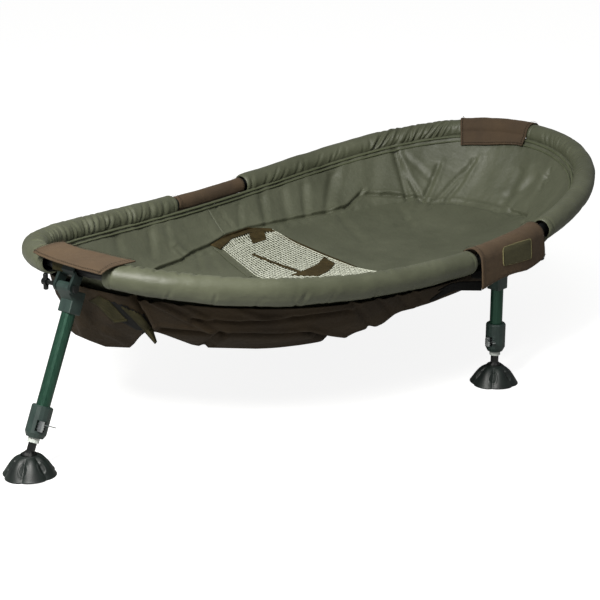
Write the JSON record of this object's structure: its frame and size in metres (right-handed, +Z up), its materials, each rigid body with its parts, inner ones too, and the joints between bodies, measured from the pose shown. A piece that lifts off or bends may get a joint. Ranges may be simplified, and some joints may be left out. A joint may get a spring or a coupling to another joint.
{
  "type": "fish unhooking cradle",
  "caption": "Oval padded fish cradle on a folding tube hoop, with a drain strip, cloth covers and splayed telescopic legs on swivelling lobed feet.",
  "frame": {"origin": "on the ground, under the middle of the hoop", "axes": "+X along the long side towards the right end in the picture, +Y towards the rear side, +Z up"},
  "size_m": [1.5486, 0.7386, 0.3277],
  "materials": {
    "sleeve_nylon": "satin padded nylon",
    "liner_nylon": "satin wipe-clean nylon",
    "cover_fabric": "coarse brown woven fabric",
    "belly_fabric": "brown nylon",
    "drain_net": "pale open net",
    "frame_metal": "dark coated tube",
    "leg_metal": "dark green anodised tube",
    "clamp_plastic": "dark grey-green moulding",
    "black_plastic": "black moulding",
    "zinc": "zinc plated",
    "white_plastic": "white bush",
    "foot_rubber": "dark flexible rubber"
  },
  "bodies": {
    "right_frame": {"hoop_tube_right": "frame_metal", "sleeve_right_front": "sleeve_nylon", "sleeve_right_rear": "sleeve_nylon", "liner_right": "liner_nylon", "belly_right": "belly_fabric", "drain_mesh_right": "drain_net", "cover_right_end": "cover_fabric", "cover_front": "cover_fabric", "cover_rear": "cover_fabric", "leg_bracket_right": "clamp_plastic", "leg_bracket_front": "clamp_plastic", "fold_pin_front_right": "zinc", "fold_pin_rear_right": "zinc"},
    "fold_links": {"fold_link_front": "zinc", "fold_link_rear": "zinc", "fold_pin_front_left": "zinc", "fold_pin_rear_left": "zinc"},
    "left_frame": {"hoop_tube_left": "frame_metal", "sleeve_left_front": "sleeve_nylon", "sleeve_left_rear": "sleeve_nylon", "liner_left": "liner_nylon", "belly_left": "belly_fabric", "drain_mesh_left": "drain_net", "cover_left_end": "cover_fabric", "leg_bracket_left": "clamp_plastic", "leg_bracket_rear": "clamp_plastic"},
    "leg_left": {"leg_head_left": "clamp_plastic", "leg_tube_left": "leg_metal", "cam_collar_left": "clamp_plastic"},
    "knob_left": {"t_bar_bolt_left": "black_plastic"},
    "lever_left": {"cam_lever_left": "zinc"},
    "stem_left": {"foot_stem_left": "black_plastic", "neck_bush_left": "white_plastic"},
    "foot_left": {"mud_foot_left": "foot_rubber"},
    "leg_rear": {"leg_head_rear": "clamp_plastic", "leg_tube_rear": "leg_metal", "cam_collar_rear": "clamp_plastic"},
    "knob_rear": {"t_bar_bolt_rear": "black_plastic"},
    "lever_rear": {"cam_lever_rear": "zinc"},
    "stem_rear": {"foot_stem_rear": "black_plastic", "neck_bush_rear": "white_plastic"},
    "foot_rear": {"mud_foot_rear": "foot_rubber"},
    "leg_right": {"leg_head_right": "clamp_plastic", "leg_tube_right": "leg_metal", "cam_collar_right": "clamp_plastic"},
    "knob_right": {"t_bar_bolt_right": "black_plastic"},
    "lever_right": {"cam_lever_right": "zinc"},
    "stem_right": {"foot_stem_right": "black_plastic", "neck_bush_right": "white_plastic"},
    "foot_right": {"mud_foot_right": "foot_rubber"},
    "leg_front": {"leg_head_front": "clamp_plastic", "leg_tube_front": "leg_metal", "cam_collar_front": "clamp_plastic"},
    "knob_front": {"t_bar_bolt_front": "black_plastic"},
    "lever_front": {"cam_lever_front": "zinc"},
    "stem_front": {"foot_stem_front": "black_plastic", "neck_bush_front": "white_plastic"},
    "foot_front": {"mud_foot_front": "foot_rubber"}
  },
  "joints": [
    {"name": "fold_near", "type": "hinge", "parent": "right_frame", "child": "fold_links", "pos_m": [0.02, 0, 0.235], "axis": [0, 1, 0], "range_deg": [0, 83], "deforming": ["cover_front", "cover_rear"]},
    {"name": "fold_far", "type": "hinge", "parent": "fold_links", "child": "left_frame", "pos_m": [-0.03, 0, 0.235], "axis": [0, 1, 0], "range_deg": [0, 83], "deforming": ["cover_front", "cover_rear"]},
    {"name": "leg_swing_left", "type": "hinge", "parent": "left_frame", "child": "leg_left", "pos_m": [-0.64133, -0.00546, 0.27799], "axis": [-0.0241, 0.9997, 0], "range_deg": [0, 65]},
    {"name": "knob_turn_left", "type": "hinge", "parent": "left_frame", "child": "knob_left", "pos_m": [-0.64133, -0.00546, 0.27799], "axis": [-0.0241, 0.9997, 0], "continuous": true},
    {"name": "lever_turn_left", "type": "hinge", "parent": "leg_left", "child": "lever_left", "pos_m": [-0.62849, -0.02002, 0.27222], "axis": [-0.4193, -0.0101, -0.9078], "range_deg": [0, 75]},
    {"name": "stem_slide_left", "type": "slide", "parent": "leg_left", "child": "stem_left", "axis": [-0.4193, -0.0101, -0.9078], "range_m": [0, 0.1]},
    {"name": "foot_tilt_left", "type": "hinge", "parent": "stem_left", "child": "foot_left", "pos_m": [-0.7324, -0.00766, 0.0284], "axis": [-0.0241, 0.9997, 0], "range_deg": [-20, 20]},
    {"name": "leg_swing_rear", "type": "hinge", "parent": "left_frame", "child": "leg_rear", "pos_m": [-0.06044, 0.32793, 0.20963], "axis": [0.998, 0.0632, 0], "range_deg": [0, 85], "deforming": ["cover_rear"]},
    {"name": "knob_turn_rear", "type": "hinge", "parent": "left_frame", "child": "knob_rear", "pos_m": [-0.06044, 0.32793, 0.20963], "axis": [0.998, 0.0632, 0], "continuous": true},
    {"name": "lever_turn_rear", "type": "hinge", "parent": "leg_rear", "child": "lever_rear", "pos_m": [-0.07192, 0.33624, 0.20963], "axis": [0, 0, -1], "range_deg": [0, 75]},
    {"name": "stem_slide_rear", "type": "slide", "parent": "leg_rear", "child": "stem_rear", "axis": [0, 0, -1], "range_m": [0, 0.05]},
    {"name": "foot_tilt_rear", "type": "hinge", "parent": "stem_rear", "child": "foot_rear", "pos_m": [-0.06019, 0.32393, 0.0284], "axis": [0.998, 0.0632, 0], "range_deg": [-20, 20]},
    {"name": "leg_swing_right", "type": "hinge", "parent": "right_frame", "child": "leg_right", "pos_m": [0.63935, 0.03359, 0.27758], "axis": [0.1218, -0.9926, 0], "range_deg": [0, 65]},
    {"name": "knob_turn_right", "type": "hinge", "parent": "right_frame", "child": "knob_right", "pos_m": [0.63935, 0.03359, 0.27758], "axis": [0.1218, -0.9926, 0], "continuous": true},
    {"name": "lever_turn_right", "type": "hinge", "parent": "leg_right", "child": "lever_right", "pos_m": [0.62514, 0.04683, 0.2718], "axis": [0.4163, 0.0511, -0.9078], "range_deg": [0, 75]},
    {"name": "stem_slide_right", "type": "slide", "parent": "leg_right", "child": "stem_right", "axis": [0.4163, 0.0511, -0.9078], "range_m": [0, 0.1]},
    {"name": "foot_tilt_right", "type": "hinge", "parent": "stem_right", "child": "foot_right", "pos_m": [0.72957, 0.04466, 0.0284], "axis": [0.1218, -0.9926, 0], "range_deg": [-20, 20]},
    {"name": "leg_swing_front", "type": "hinge", "parent": "right_frame", "child": "leg_front", "pos_m": [0.05434, -0.33182, 0.20952], "axis": [-1, 0.004, 0], "range_deg": [0, 85], "deforming": ["cover_front"]},
    {"name": "knob_turn_front", "type": "hinge", "parent": "right_frame", "child": "knob_front", "pos_m": [0.05434, -0.33182, 0.20952], "axis": [-1, 0.004, 0], "continuous": true},
    {"name": "lever_turn_front", "type": "hinge", "parent": "leg_front", "child": "lever_front", "pos_m": [0.03769, -0.32451, 0.20952], "axis": [0, 0, -1], "range_deg": [0, 75]},
    {"name": "stem_slide_front", "type": "slide", "parent": "leg_front", "child": "stem_front", "axis": [0, 0, -1], "range_m": [0, 0.05]},
    {"name": "foot_tilt_front", "type": "hinge", "parent": "stem_front", "child": "foot_front", "pos_m": [0.05436, -0.32782, 0.0284], "axis": [-1, 0.004, 0], "range_deg": [-20, 20]}
  ]
}
